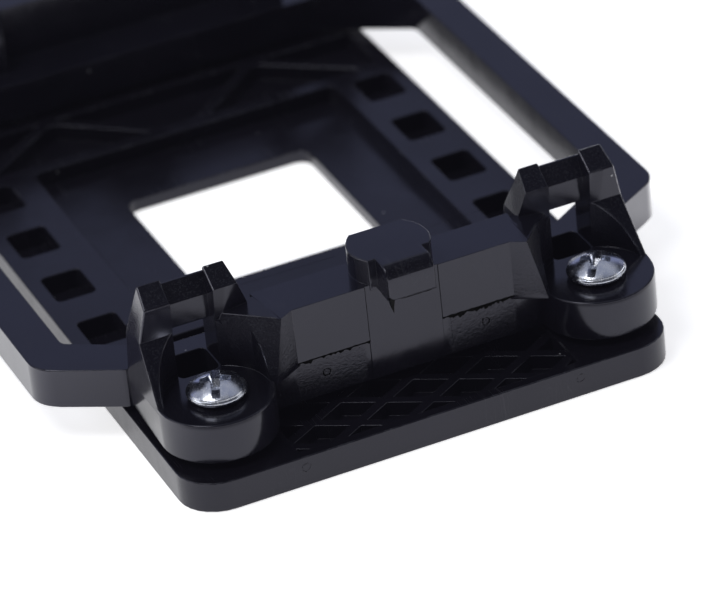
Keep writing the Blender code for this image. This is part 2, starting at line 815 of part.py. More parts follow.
def place_fasteners():
    """A screw and an insert on each corner's axis, sharing one mesh of each kind."""
    screw_shape = make_screw()
    insert_shape = make_insert()
    for corner, side_x, side_y, turn in CORNERS:
        axis = bpy.data.objects.new("axis_" + corner, None)
        axis.location = (side_x * HOLE_X, side_y * HOLE_Y, 0.0)
        PARTS.objects.link(axis)
        screw = add_on_axis("screw_" + corner, screw_shape.data, axis)
        screw.rotation_euler = (0.0, 0.0, math.radians(turn))
        add_on_axis("insert_" + corner, insert_shape.data, axis)
    bpy.data.objects.remove(screw_shape, do_unlink=True)
    bpy.data.objects.remove(insert_shape, do_unlink=True)


make_backplate()
make_frame()
place_fasteners()
bpy.context.view_layer.update()
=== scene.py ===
import json
import math

import bmesh
import bpy
from mathutils import Matrix, Vector, noise
from mathutils.geometry import delaunay_2d_cdt

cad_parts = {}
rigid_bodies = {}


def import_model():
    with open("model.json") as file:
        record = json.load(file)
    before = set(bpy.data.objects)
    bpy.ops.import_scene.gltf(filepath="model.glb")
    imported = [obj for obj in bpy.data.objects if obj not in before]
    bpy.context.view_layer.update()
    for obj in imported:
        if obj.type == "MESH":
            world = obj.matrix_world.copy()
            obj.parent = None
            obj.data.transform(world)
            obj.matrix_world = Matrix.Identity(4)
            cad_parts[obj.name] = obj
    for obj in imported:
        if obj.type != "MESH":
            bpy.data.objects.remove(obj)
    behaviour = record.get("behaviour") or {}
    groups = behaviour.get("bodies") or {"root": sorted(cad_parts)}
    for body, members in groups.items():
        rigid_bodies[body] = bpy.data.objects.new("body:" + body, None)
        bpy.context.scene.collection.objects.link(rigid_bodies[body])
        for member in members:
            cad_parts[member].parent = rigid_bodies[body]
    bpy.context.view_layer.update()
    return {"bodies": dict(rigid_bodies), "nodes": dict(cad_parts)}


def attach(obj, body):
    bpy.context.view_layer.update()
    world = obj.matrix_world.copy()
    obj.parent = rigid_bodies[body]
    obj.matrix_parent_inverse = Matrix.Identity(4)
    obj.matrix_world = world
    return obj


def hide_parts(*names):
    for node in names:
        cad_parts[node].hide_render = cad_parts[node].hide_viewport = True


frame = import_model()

MM = 0.001
SIDES = ((-1, -1), (1, -1), (-1, 1), (1, 1))
CORNERS = {
    "near_left": (-1, -1, 68.0),
    "near_right": (1, -1, 53.0),
    "far_left": (-1, 1, 21.0),
    "far_right": (1, 1, 104.0),
}
HOLE_X, HOLE_Y = 24.0 * MM, 48.0 * MM
PITCH = 25.4 / 32 * MM


# ------------------------------------------------------------ node helpers
class Tree:
    """Short calls for building a node tree: inputs take values or other nodes' sockets."""

    def __init__(self, tree):
        self.tree = tree

    def add(self, kind, inputs=None, **settings):
        made = self.tree.nodes.new(kind)
        for key, value in settings.items():
            setattr(made, key, value)
        for key, value in (inputs or {}).items():
            socket = made.inputs[key]
            if isinstance(value, bpy.types.NodeSocket):
                self.tree.links.new(value, socket)
            else:
                socket.default_value = value
        return made

    def math(self, operation, a, b=0.0, c=0.0, clamp=False):
        made = self.add("ShaderNodeMath", {0: a, 1: b, 2: c}, operation=operation)
        made.use_clamp = clamp
        return made.outputs[0]

    def ramp(self, value, low, high, out_low=0.0, out_high=1.0, smooth=True):
        made = self.add(
            "ShaderNodeMapRange",
            {0: value, 1: low, 2: high, 3: out_low, 4: out_high},
            interpolation_type="SMOOTHSTEP" if smooth else "LINEAR",
        )
        return made.outputs[0]

    def mix(self, factor, a, b):
        made = self.add("ShaderNodeMix", data_type="RGBA")
        for socket, value in ((made.inputs[0], factor), (made.inputs[6], a), (made.inputs[7], b)):
            if isinstance(value, bpy.types.NodeSocket):
                self.tree.links.new(value, socket)
            else:
                socket.default_value = value
        return made.outputs[2]

    def noise(self, vector, scale, detail=3.0, rough=0.55, distortion=0.0):
        return self.add(
            "ShaderNodeTexNoise",
            {
                "Vector": vector,
                "Scale": scale,
                "Detail": detail,
                "Roughness": rough,
                "Distortion": distortion,
            },
        ).outputs[0]


def new_material(name, view_colour, view_rough=0.3, metal=0.0):
    made = bpy.data.materials.new(name)
    made.use_nodes = True
    made.node_tree.nodes.clear()
    made.diffuse_color = (*view_colour, 1.0)
    made.roughness = view_rough
    made.metallic = metal
    return made, Tree(made.node_tree)


def surface(tree, shader):
    out = tree.add("ShaderNodeOutputMaterial")
    tree.tree.links.new(shader.outputs[0], out.inputs[0])


def black_plastic(name, base, sheen_low, sheen_high, grain_all, seed, gloss):
    """Moulded black plastic: flow waviness, fine spark-eroded grain on the drafted faces,
    hairline scuffs, rubbed edges, a few specks of dust, and a faint painted glow that lifts the shaded blacks."""
    made, t = new_material(name, base, 0.3)
    at = t.add("ShaderNodeTexCoord").outputs["Object"]
    shift = t.add(
        "ShaderNodeMapping", {"Vector": at, "Location": (0.31 * seed, 0.17 * seed, 0.23 * seed)}
    ).outputs[0]
    geometry = t.add("ShaderNodeNewGeometry")

    # which faces lean: their tool was spark eroded, so they carry a grain
    lean = t.add("ShaderNodeSeparateXYZ", {0: geometry.outputs["True Normal"]})
    biggest = t.math(
        "MAXIMUM",
        t.math("MAXIMUM", t.math("ABSOLUTE", lean.outputs[0]), t.math("ABSOLUTE", lean.outputs[1])),
        t.math("ABSOLUTE", lean.outputs[2]),
    )
    leaning = t.ramp(biggest, 0.965, 0.985, 1.0, 0.0)
    height = t.add("ShaderNodeSeparateXYZ", {0: at}).outputs[2]
    leaning = t.math("MULTIPLY", leaning, t.ramp(height, 0.0098, 0.0112))
    edge = t.add("ShaderNodeAttribute", attribute_name="edge").outputs["Fac"]
    leaning = t.math("MULTIPLY", leaning, t.math("SUBTRACT", 1.0, edge))
    where = t.add("ShaderNodeSeparateXYZ", {0: at})
    low_wall = t.math(
        "MULTIPLY",
        t.ramp(where.outputs[2], 0.0101, 0.0103, 1.0, 0.0),
        t.math(
            "MULTIPLY",
            t.ramp(t.math("ABSOLUTE", where.outputs[1]), 0.0466, 0.0468),
            t.ramp(t.math("ABSOLUTE", where.outputs[0]), 0.0136, 0.0142, 1.0, 0.0),
        ),
    )
    low_wall = t.math("MULTIPLY", low_wall, t.ramp(t.math("ABSOLUTE", lean.outputs[1]), 0.98, 0.99))
    low_wall = t.math("MULTIPLY", low_wall, t.ramp(where.outputs[2], 0.0046, 0.0048))
    low_wall = t.math("MULTIPLY", low_wall, t.ramp(t.math("ABSOLUTE", where.outputs[0]), 0.0049, 0.0056))
    dull = t.math("MULTIPLY", leaning, t.ramp(lean.outputs[2], 0.08, 0.16))
    dull = t.math(
        "MULTIPLY",
        dull,
        t.math(
            "MAXIMUM",
            t.ramp(lean.outputs[0], -0.45, -0.2),
            t.ramp(t.math("ABSOLUTE", lean.outputs[1]), 0.30, 0.45),
        ),
    )
    # the round walls beside each screw were milled: they stay dull
    off_x = t.math("SUBTRACT", t.math("ABSOLUTE", where.outputs[0]), 0.024)
    off_y = t.math("SUBTRACT", t.math("ABSOLUTE", where.outputs[1]), 0.048)
    away = t.math("SQRT", t.math("ADD", t.math("MULTIPLY", off_x, off_x), t.math("MULTIPLY", off_y, off_y)))
    milled = t.math("MULTIPLY", t.ramp(away, 0.0058, 0.0060), t.ramp(away, 0.0066, 0.0068, 1.0, 0.0))
    milled = t.math("MULTIPLY", milled, t.ramp(where.outputs[2], 0.0092, 0.0098))
    milled = t.math("MULTIPLY", milled, t.ramp(t.math("ABSOLUTE", lean.outputs[2]), 0.05, 0.15, 1.0, 0.0))
    dull = t.math("MAXIMUM", dull, milled)
    grainy = t.math("MAXIMUM", t.math("MAXIMUM", leaning, t.math("MULTIPLY", low_wall, 0.55)), grain_all)

    # rubbed edges
    patches = t.ramp(t.noise(shift, 260.0, 3.0, 0.65), 0.46, 0.70)
    wear = t.math("MULTIPLY", edge, patches)

    # hairline scuffs in two directions
    scuffs = None
    for turn, scale, cut in ((0.6, 900.0, 0.030), (2.0, 1300.0, 0.026)):
        lines = t.add(
            "ShaderNodeMapping",
            {"Vector": shift, "Rotation": (0.35 * turn, 0.2, turn), "Scale": (1.0, 0.03, 0.25)},
        ).outputs[0]
        cell = t.add(
            "ShaderNodeTexVoronoi",
            {"Vector": lines, "Scale": scale, "Randomness": 1.0},
            feature="DISTANCE_TO_EDGE",
        ).outputs["Distance"]
        line = t.ramp(cell, 0.0, cut, 1.0, 0.0)
        here = t.ramp(t.noise(shift, 95.0 + 40 * turn, 1.0), 0.56, 0.74)
        line = t.math("MULTIPLY", line, here)
        scuffs = line if scuffs is None else t.math("MAXIMUM", scuffs, line)

    # dust
    cells = t.add("ShaderNodeTexVoronoi", {"Vector": shift, "Scale": 380.0, "Randomness": 1.0})
    speck = t.ramp(cells.outputs["Distance"], 0.035, 0.07, 1.0, 0.0)
    few = t.add("ShaderNodeSeparateColor", {0: cells.outputs["Color"]}).outputs[0]
    dust = t.math("MULTIPLY", speck, t.ramp(few, 0.90, 0.92))

    flow = t.noise(shift, 46.0, 1.0, 0.5, 0.3)
    cloud = t.noise(shift, 330.0, 4.0, 0.6)
    coarse = t.noise(shift, 3200.0, 2.0, 0.7)

    rough = t.ramp(cloud, 0.30, 0.72, sheen_low, sheen_high, smooth=False)
    rough = t.math("ADD", rough, t.math("MULTIPLY", grainy, 0.16))
    rough = t.math("ADD", rough, t.math("MULTIPLY", scuffs, 0.10))
    rough = t.math("ADD", rough, t.math("MULTIPLY", wear, 0.08), clamp=True)

    darker = tuple(0.78 * c for c in base) + (1.0,)
    lighter = tuple(1.25 * c for c in base) + (1.0,)
    colour = t.mix(t.ramp(flow, 0.3, 0.7), darker, lighter)
    # the spark-eroded faces show pale specks
    grains = t.ramp(t.noise(shift, 4200.0, 2.0, 0.8), 0.53, 0.66)
    grains = t.math("MULTIPLY", grains, t.math("MULTIPLY", leaning, t.ramp(lean.outputs[2], 0.08, 0.16)))
    colour = t.mix(t.math("MULTIPLY", grains, 0.75), colour, (0.030, 0.032, 0.040, 1.0))
    colour = t.mix(t.math("MULTIPLY", wear, 0.5), colour, (0.050, 0.051, 0.058, 1.0))
    colour = t.mix(t.math("MULTIPLY", scuffs, 0.22), colour, (0.050, 0.051, 0.058, 1.0))
    colour = t.mix(t.math("MULTIPLY", dust, 0.8), colour, (0.42, 0.42, 0.43, 1.0))

    relief = t.math("MULTIPLY", flow, 0.9)
    relief = t.math("ADD", relief, t.math("MULTIPLY", cloud, 0.03))
    relief = t.math("ADD", relief, t.math("MULTIPLY", t.math("ADD", grainy, 0.02), t.math("MULTIPLY", coarse, 0.16)))
    bump = t.add("ShaderNodeBump", {"Strength": 1.0, "Distance": 0.00042, "Height": relief})

    shader = t.add(
        "ShaderNodeBsdfPrincipled",
        {
            "Base Color": colour,
            "Roughness": rough,
            "IOR": 1.53,
            "Specular IOR Level": t.ramp(dull, 0.0, 1.0, gloss, 0.24 * gloss, smooth=False),
            "Specular Tint": (0.86, 0.86, 1.0, 1.0),
            # a faint blue-grey glow: painted light that lifts the blacks in the shade
            "Emission Color": (0.62, 0.60, 0.85, 1.0),
            "Emission Strength": 0.0042,
            "Normal": bump.outputs[0],
        },
    )
    surface(t, shader)
    return made


def zinc():
    """Bright zinc plate on steel: a cloudy crystal sheen, small pits, and painted shade darkening the recesses."""
    made, t = new_material("bright_zinc_plate", (0.62, 0.63, 0.66), 0.25, 1.0)
    at = t.add("ShaderNodeTexCoord").outputs["Object"]
    spangle = t.add("ShaderNodeTexVoronoi", {"Vector": at, "Scale": 1500.0}, feature="F1")
    tint = t.add("ShaderNodeSeparateColor", {0: spangle.outputs["Color"]}).outputs[0]
    cloud = t.noise(at, 900.0, 5.0, 0.65)
    pits = t.ramp(t.noise(at, 5200.0, 3.0, 0.7), 0.30, 0.42, 1.0, 0.0)
    turned = t.noise(
        t.add("ShaderNodeMapping", {"Vector": at, "Scale": (1.0, 1.0, 6.0)}).outputs[0], 700.0, 2.0
    )
    colour = t.mix(t.ramp(cloud, 0.3, 0.7), (0.60, 0.63, 0.72, 1.0), (0.86, 0.87, 0.90, 1.0))
    colour = t.mix(t.math("MULTIPLY", tint, 0.25), colour, (0.70, 0.74, 0.84, 1.0))
    # painted shade: ambient occlusion darkens the colour in the recesses
    recess_painted_shade = t.add("ShaderNodeAmbientOcclusion", {"Distance": 0.0009}, samples=6).outputs["AO"]
    colour = t.mix(t.ramp(recess_painted_shade, 0.15, 0.75, 0.45, 0.0), colour, (0.13, 0.14, 0.17, 1.0))
    rough = t.ramp(cloud, 0.3, 0.75, 0.15, 0.34, smooth=False)
    rough = t.math("ADD", rough, t.math("MULTIPLY", pits, 0.12), clamp=True)
    relief = t.math("ADD", t.math("MULTIPLY", cloud, 0.35), t.math("MULTIPLY", pits, -0.06))
    relief = t.math("ADD", relief, t.math("MULTIPLY", turned, 0.12))
    bump = t.add("ShaderNodeBump", {"Strength": 0.8, "Distance": 0.00006, "Height": relief})
    shader = t.add(
        "ShaderNodeBsdfPrincipled",
        {"Base Color": colour, "Metallic": 1.0, "Roughness": rough, "Normal": bump.outputs[0]},
    )
    surface(t, shader)
    return made


def brass():
    """Turned brass, slightly dulled, with fine lathe rings."""
    made, t = new_material("turned_brass", (0.72, 0.52, 0.24), 0.3, 1.0)
    at = t.add("ShaderNodeTexCoord").outputs["Object"]
    cloud = t.noise(at, 700.0, 4.0, 0.6)
    rings = t.noise(
        t.add("ShaderNodeMapping", {"Vector": at, "Scale": (0.25, 0.25, 9.0)}).outputs[0],
        1800.0,
        2.0,
    )
    colour = t.mix(t.ramp(cloud, 0.3, 0.7), (0.56, 0.38, 0.15, 1.0), (0.83, 0.63, 0.31, 1.0))
    rough = t.ramp(cloud, 0.3, 0.7, 0.22, 0.42, smooth=False)
    bump = t.add("ShaderNodeBump", {"Strength": 0.6, "Distance": 0.00008, "Height": rings})
    shader = t.add(
        "ShaderNodeBsdfPrincipled",
        {"Base Color": colour, "Metallic": 1.0, "Roughness": rough, "Normal": bump.outputs[0]},
    )
    surface(t, shader)
    return made


FRAME_BLACK = black_plastic("frame_black_plastic", (0.0052, 0.0050, 0.0088), 0.11, 0.19, 0.0, 1, 0.47)
PLATE_BLACK = black_plastic("backplate_black_plastic", (0.0052, 0.0047, 0.0080), 0.15, 0.25, 0.10, 2, 0.40)
ZINC = zinc()
BRASS = brass()


def torn_flash():
    """Matt black plastic of the torn mould flash, near black: painted shade for the shadowed gaps along the mould
    lines.
    """
    made, t = new_material("torn_flash_painted_shade", (0.002, 0.002, 0.003), 0.7)
    at = t.add("ShaderNodeTexCoord").outputs["Object"]
    grain = t.noise(at, 2400.0, 3.0, 0.7)
    bump = t.add("ShaderNodeBump", {"Strength": 0.8, "Distance": 0.00006, "Height": grain})
    shader = t.add(
        "ShaderNodeBsdfPrincipled",
        {
            # near-black base colour: painted shade for the shadow under the mould lines and burrs
            "Base Color": t.mix(grain, (0.0008, 0.0008, 0.001, 1.0), (0.0035, 0.0033, 0.0045, 1.0)),
            "Roughness": t.ramp(grain, 0.2, 0.8, 0.50, 0.75),
            "Specular IOR Level": 0.14,
            "Normal": bump.outputs[0],
        },
    )
    surface(t, shader)
    return made


FLASH_PAINTED_SHADE = torn_flash()


# ------------------------------------------------------------ mesh helpers
def put(name, mesh, paint=None):
    made = bpy.data.objects.new(name, mesh)
    bpy.context.scene.collection.objects.link(made)
    if paint:
        mesh.materials.clear()
        mesh.materials.append(paint)
    return made


def hide_helper(obj):
    obj.hide_render = True
    obj.hide_viewport = True
    obj.display_type = "WIRE"
    return obj


def clean_copy(node):
    """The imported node's shape as one welded mesh, ready for the fine detail."""
    shape = bmesh.new()
    shape.from_mesh(frame["nodes"][node].data)
    bmesh.ops.remove_doubles(shape, verts=shape.verts, dist=2e-6)
    mesh = bpy.data.meshes.new(node + "_shell")
    shape.to_mesh(mesh)
    shape.free()
    if mesh.attributes.get("custom_normal"):
        mesh.attributes.remove(mesh.attributes["custom_normal"])
    return mesh


def evaluated(obj):
    bpy.context.view_layer.update()
    graph = bpy.context.evaluated_depsgraph_get()
    return bpy.data.meshes.new_from_object(obj.evaluated_get(graph))


def boolean(target, other, operation):
    step = target.modifiers.new(operation.lower(), "BOOLEAN")
    step.operation = operation
    step.solver = "EXACT"
    step.object = other
    mesh = evaluated(target)
    target.modifiers.clear()
    target.data = mesh
    bpy.data.objects.remove(other, do_unlink=True)


def bevel_weights(mesh, width, angle, fine=None):
    """Gives every sharp edge a rounding that fits the smallest detail next to it."""
    shape = bmesh.new()
    shape.from_mesh(mesh)
    shape.normal_update()
    layer = shape.edges.layers.float.new("bevel_weight_edge")
    sharp = {e for e in shape.edges if len(e.link_faces) == 2 and e.calc_face_angle(0.0) > angle}
    room = {}
    for vert in shape.verts:
        near = [e.calc_length() for e in vert.link_edges]
        room[vert] = min(near) if near else width
    for edge in sharp:
        space = min(room[v] for v in edge.verts)
        for face in edge.link_faces:
            for other in face.edges:
                if other is edge or other not in sharp or set(other.verts) & set(edge.verts):
                    continue
                for spot in (edge.verts[0].co, edge.verts[1].co, (edge.verts[0].co + edge.verts[1].co) / 2):
                    a, b = other.verts[0].co, other.verts[1].co
                    along = max(0.0, min(1.0, (spot - a).dot(b - a) / max((b - a).length_squared, 1e-18)))
                    space = min(space, (spot - a.lerp(b, along)).length)
                for spot in (other.verts[0].co, other.verts[1].co):
                    a, b = edge.verts[0].co, edge.verts[1].co
                    along = max(0.0, min(1.0, (spot - a).dot(b - a) / max((b - a).length_squared, 1e-18)))
                    space = min(space, (spot - a.lerp(b, along)).length)
        edge[layer] = min(1.0, 0.45 * space / width)
        if fine and fine((edge.verts[0].co + edge.verts[1].co) / 2):
            edge[layer] *= 0.6
        if edge.calc_face_angle_signed(0.0) < 0:
            edge[layer] *= 0.3
    shape.to_mesh(mesh)
    shape.free()


def retile(mesh):
    """Fills every flat area of the rounded shell again, from its outline and holes, so that
    no long polygon folds over itself."""
    shape = bmesh.new()
    shape.from_mesh(mesh)
    shape.normal_update()
    shape.faces.index_update()
    seen, areas = set(), []
    for face in shape.faces:
        if face.index in seen or face.material_index:
            continue
        seen.add(face.index)
        area, front = [face], [face]
        while front:
            for edge in front.pop().edges:
                for other in edge.link_faces:
                    if other.index in seen or other.material_index:
                        continue
                    if other.normal.dot(face.normal) > 0.99997:
                        seen.add(other.index)
                        area.append(other)
                        front.append(other)
        if len(area) > 1 or len(face.verts) > 4:
            areas.append(area)
    for area in areas:
        inside = set(area)
        rim = [e for e in {e for f in area for e in f.edges} if sum(f in inside for f in e.link_faces) == 1]
        corners = list({v for e in rim for v in e.verts})
        place = {v: i for i, v in enumerate(corners)}
        normal = sum((f.normal * f.calc_area() for f in area), Vector()).normalized()
        sideways = normal.orthogonal().normalized()
        upward = normal.cross(sideways)
        flat = [Vector((v.co.dot(sideways) * 1000, v.co.dot(upward) * 1000)) for v in corners]
        lines = [(place[e.verts[0]], place[e.verts[1]]) for e in rim]
        points, _, tiles, origin, _, _ = delaunay_2d_cdt(flat, lines, [], 0, 1e-7)
        depth = sum(v.co.dot(normal) for v in corners) / len(corners)
        spots = []
        for point, source in zip(points, origin):
            if source:
                spots.append(corners[source[0]])
            else:
                at = sideways * (point.x / 1000) + upward * (point.y / 1000) + normal * depth
                spots.append(shape.verts.new(at))
        kept = []
        for tile in tiles:
            middle = sum((points[i] for i in tile), Vector((0, 0))) / len(tile)
            crossed = 0
            for a, b in lines:
                p, q = flat[a], flat[b]
                if (p.y > middle.y) != (q.y > middle.y):
                    if p.x + (middle.y - p.y) * (q.x - p.x) / (q.y - p.y) > middle.x:
                        crossed += 1
            if crossed % 2:
                kept.append([spots[i] for i in tile])
        bmesh.ops.delete(shape, geom=area, context="FACES_ONLY")
        loose = [e for e in shape.edges if not e.link_faces]
        bmesh.ops.delete(shape, geom=loose, context="EDGES")
        for tile in kept:
            a, b, c = tile[:3]
            if (b.co - a.co).cross(c.co - a.co).dot(normal) < 0:
                tile = list(reversed(tile))
            if len(set(tile)) == 3 and not shape.faces.get(tile):
                shape.faces.new(tile).smooth = True
    lone = [v for v in shape.verts if not v.link_faces]
    bmesh.ops.delete(shape, geom=lone, context="VERTS")
    shape.to_mesh(mesh)
    shape.free()


def shade(mesh, curve=21.0):
    """Flat areas stay flat, curved ones run smoothly, and each rounding blends between the
    two faces it joins."""
    mesh.shade_smooth()
    marks = mesh.attributes.get("edge")
    around = [[] for _ in mesh.vertices]
    faces = mesh.polygons
    for face in faces:
        count = len(face.vertices)
        for k, index in enumerate(face.vertices):
            here = mesh.vertices[index].co
            a = mesh.vertices[face.vertices[k - 1]].co - here
            b = mesh.vertices[face.vertices[(k + 1) % count]].co - here
            width = a.angle(b, 0.0) if a.length > 0 and b.length > 0 else 0.0
            around[index].append((face.index, max(width, 1e-4)))
    normals = [face.normal.copy() for face in faces]
    areas = [face.area for face in faces]
    round_ = [marks.data[face.index].value > 0.5 for face in faces] if marks else [False] * len(faces)
    limit = math.cos(math.radians(curve))
    result = [Vector((0, 0, 1))] * len(mesh.loops)

    def plane(face):
        at = faces[face].center.dot(normals[face])
        return (*(round(c * 150) for c in normals[face]), round(at / 4e-5))

    planes = {face.index: plane(face.index) for face in faces if not round_[face.index]}
    whole = {}
    for index, key in planes.items():
        whole[key] = whole.get(key, 0.0) + areas[index]

    def level(own, group):
        total, seen = Vector(), set()
        for other, _ in group:
            key = planes[other]
            if key not in seen and normals[other].dot(normals[own]) > limit:
                seen.add(key)
                total += normals[other] * (whole[key] * 1e6) ** 2
        return total.normalized() if total.length > 1e-15 else normals[own]

    for face in faces:
        for loop in face.loop_indices:
            vertex = mesh.loops[loop].vertex_index
            flats = [(f, w) for f, w in around[vertex] if not round_[f] and areas[f] > 1e-12]
            if not round_[face.index]:
                result[loop] = level(face.index, flats)
            elif flats:
                near = max(flats, key=lambda item: normals[item[0]].dot(face.normal))[0]
                result[loop] = level(near, flats)
            else:
                total = Vector()
                for f, w in around[vertex]:
                    total += normals[f] * areas[f]
                result[loop] = total.normalized() if total.length > 1e-15 else face.normal.copy()
    return result


def rounded(obj, width, segments=2, angle=28.0, fine=None, draft=None):
    """Joins the flat areas, rounds every edge, and marks the rounding with the value edge."""
    paint = obj.data.materials[0]
    obj.data.materials.append(paint)
    flat = obj.modifiers.new("flat_faces", "DECIMATE")
    flat.decimate_type = "DISSOLVE"
    flat.angle_limit = math.radians(0.15)
    obj.data = evaluated(obj)
    obj.modifiers.clear()
    bevel_weights(obj.data, width, math.radians(angle), fine)
    edge = obj.modifiers.new("edge_radius", "BEVEL")
    edge.width = width
    edge.segments = segments
    edge.limit_method = "WEIGHT"
    edge.use_clamp_overlap = False
    edge.loop_slide = False
    edge.miter_outer = "MITER_ARC"
    edge.material = 1
    mesh = evaluated(obj)
    obj.modifiers.clear()
    retile(mesh)
    obj.data = mesh
    marks = mesh.attributes.new("edge", "FLOAT", "FACE")
    for poly in mesh.polygons:
        marks.data[poly.index].value = float(poly.material_index == 1)
        poly.material_index = 0
    mesh.materials.clear()
    mesh.materials.append(paint)
    normals = shade(mesh)
    if draft:
        for loop, normal in enumerate(normals):
            normals[loop] = draft(mesh.vertices[mesh.loops[loop].vertex_index].co, normal)
    mesh.normals_split_custom_set(normals)
    return obj


def add_ring(shape, centre, normal, radius, thick, sides=28, tube=8):
    """A small raised ring, as left round an ejector pin."""
    turn = Vector(normal).normalized().to_track_quat("Z", "Y").to_matrix()
    rows = []
    for i in range(sides):
        a = 2 * math.pi * i / sides
        spot = Vector((math.cos(a) * 2.2, math.sin(a) * 2.2, centre[0] * 900))
        wobble = max(0.15, 0.75 + 1.5 * noise.noise(spot * 1.7))
        reach = radius * (1.0 + 0.22 * noise.noise(spot))
        row = []
        for k in range(tube):
            b = 2 * math.pi * k / tube
            r = reach + thick * wobble * math.cos(b)
            at = Vector((r * math.cos(a), r * math.sin(a), thick * wobble * math.sin(b)))
            row.append(shape.verts.new(turn @ at + Vector(centre)))
        rows.append(row)
    for i in range(sides):
        for k in range(tube):
            a, b = rows[i], rows[(i + 1) % sides]
            shape.faces.new((a[k], b[k], b[(k + 1) % tube], a[(k + 1) % tube]))


def add_burr(shape, start, end, side, seed, step=0.00016):
    """The ragged slope left by worn mould edges under the wall's upper panel."""
    start, end = Vector(start), Vector(end)
    count = int((end - start).length / step)
    rows = []
    for i in range(count + 1):
        u = i / count
        at = start.lerp(end, u)
        key = Vector((at.x * 900 + seed, 3.1 * seed, 0.0))
        low = 0.12 + 0.26 * noise.noise(key) + 0.22 * noise.noise(key * 3.7) + 0.14 * noise.noise(key * 9.1)
        top = 0.02 + 0.16 * max(0.0, noise.noise(key * 1.9 + Vector((5, 5, 5))))
        swell = min(1.0, 0.25 + 9 * u * (1.05 - u))
        low = (0.19 + 1.5 * max(0.0, low) * swell) * MM
        top = top * swell * MM
        lip = (0.025 + 0.05 * max(0.0, noise.noise(key * 2.3))) * MM
        rows.append(
            [
                shape.verts.new(p)
                for p in (
                    (at.x, side * (47.30 * MM + lip), at.z),
                    (at.x, side * (47.20 * MM + lip), at.z - low),
                    (at.x, side * 46.95 * MM, at.z - low),
                    (at.x, side * 46.95 * MM, at.z + top),
                    (at.x, side * 47.31 * MM, at.z + top),
                )
            ]
        )
    for a, b in zip(rows, rows[1:]):
        for k in range(5):
            shape.faces.new((a[k], b[k], b[(k + 1) % 5], a[(k + 1) % 5]))
    shape.faces.new(rows[0])
    shape.faces.new(list(reversed(rows[-1])))


def add_flash(shape, start, end, out, drop, height, thick, seed, step=0.00022):
    """A torn fin of flash along a mould line from start to end: it grows out of the face and
    along drop by an uneven height."""
    start, end = Vector(start), Vector(end)
    out, drop = Vector(out).normalized(), Vector(drop).normalized()
    count = max(3, int((end - start).length / step))
    rows = []
    for i in range(count + 1):
        u = i / count
        at = start.lerp(end, u)
        key = Vector((at.x * 1400 + seed, at.y * 1400, at.z * 1400))
        tall = 0.35 + 0.9 * max(0.0, noise.noise(key) + 0.35) + 0.5 * max(0.0, noise.noise(key * 3.1))
        fade = min(1.0, 8 * u, 8 * (1 - u))
        reach = height * tall * (0.15 + 0.85 * fade)
        root_a = at - out * thick * 0.6 + drop * thick * 0.5
        root_b = at - out * thick * 0.6 - drop * thick * 0.8
        knee = at + out * thick * (0.55 + 0.3 * noise.noise(key * 0.7))
        tip = at + drop * reach + out * thick * (0.75 + 0.6 * noise.noise(key * 1.7))
        rows.append([shape.verts.new(p) for p in (root_a, root_b, knee, tip)])
    for a, b in zip(rows, rows[1:]):
        for k in range(4):
            shape.faces.new((a[k], b[k], b[(k + 1) % 4], a[(k + 1) % 4]))
    shape.faces.new(rows[0])
    shape.faces.new(list(reversed(rows[-1])))


def finish_mesh(shape, name):
    bmesh.ops.recalc_face_normals(shape, faces=shape.faces)
    mesh = bpy.data.meshes.new(name)
    shape.to_mesh(mesh)
    shape.free()
    return mesh


# ---------------------------------------------------------- retention frame
shell = put("frame_shell", clean_copy("retention_frame"), FRAME_BLACK)

shell.data.materials.clear()
shell.data.materials.append(FRAME_BLACK)


def wall_draft(at, normal):
    """Tilts the shading normals: the wall below its upper panel as if drafted so that it leaves the mould, and the
    catch's notch and the flare facets beside the wall turned towards the front.
    """
    if abs(normal.y) > 0.99 and at.z < 10.2 * MM and abs(at.x) < 14 * MM and abs(at.y) > 46.5 * MM:
        return (normal + Vector((0, 0, 0.085 if abs(at.x) > 5.6 * MM else 0.11))).normalized()
    if 2.9 * MM < abs(at.x) < 4.7 * MM and at.z > 17.6 * MM and 47 * MM < abs(at.y) < 47.6 * MM and abs(normal.y) > 0.9:
        return Vector((0.1 * at.x / abs(at.x), 0.72 * normal.y, 0.69)).normalized()
    if abs(normal.z) < 0.1 and 0.75 < abs(normal.y) < 0.93 and 13.4 * MM < abs(at.x) < 15.7 * MM and at.z > 10 * MM:
        return Vector((0.36 * normal.x, normal.y, 0)).normalized()
    return normal


rounded(shell, 0.20 * MM, 3, draft=wall_draft)
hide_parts("retention_frame")
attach(shell, "frame")

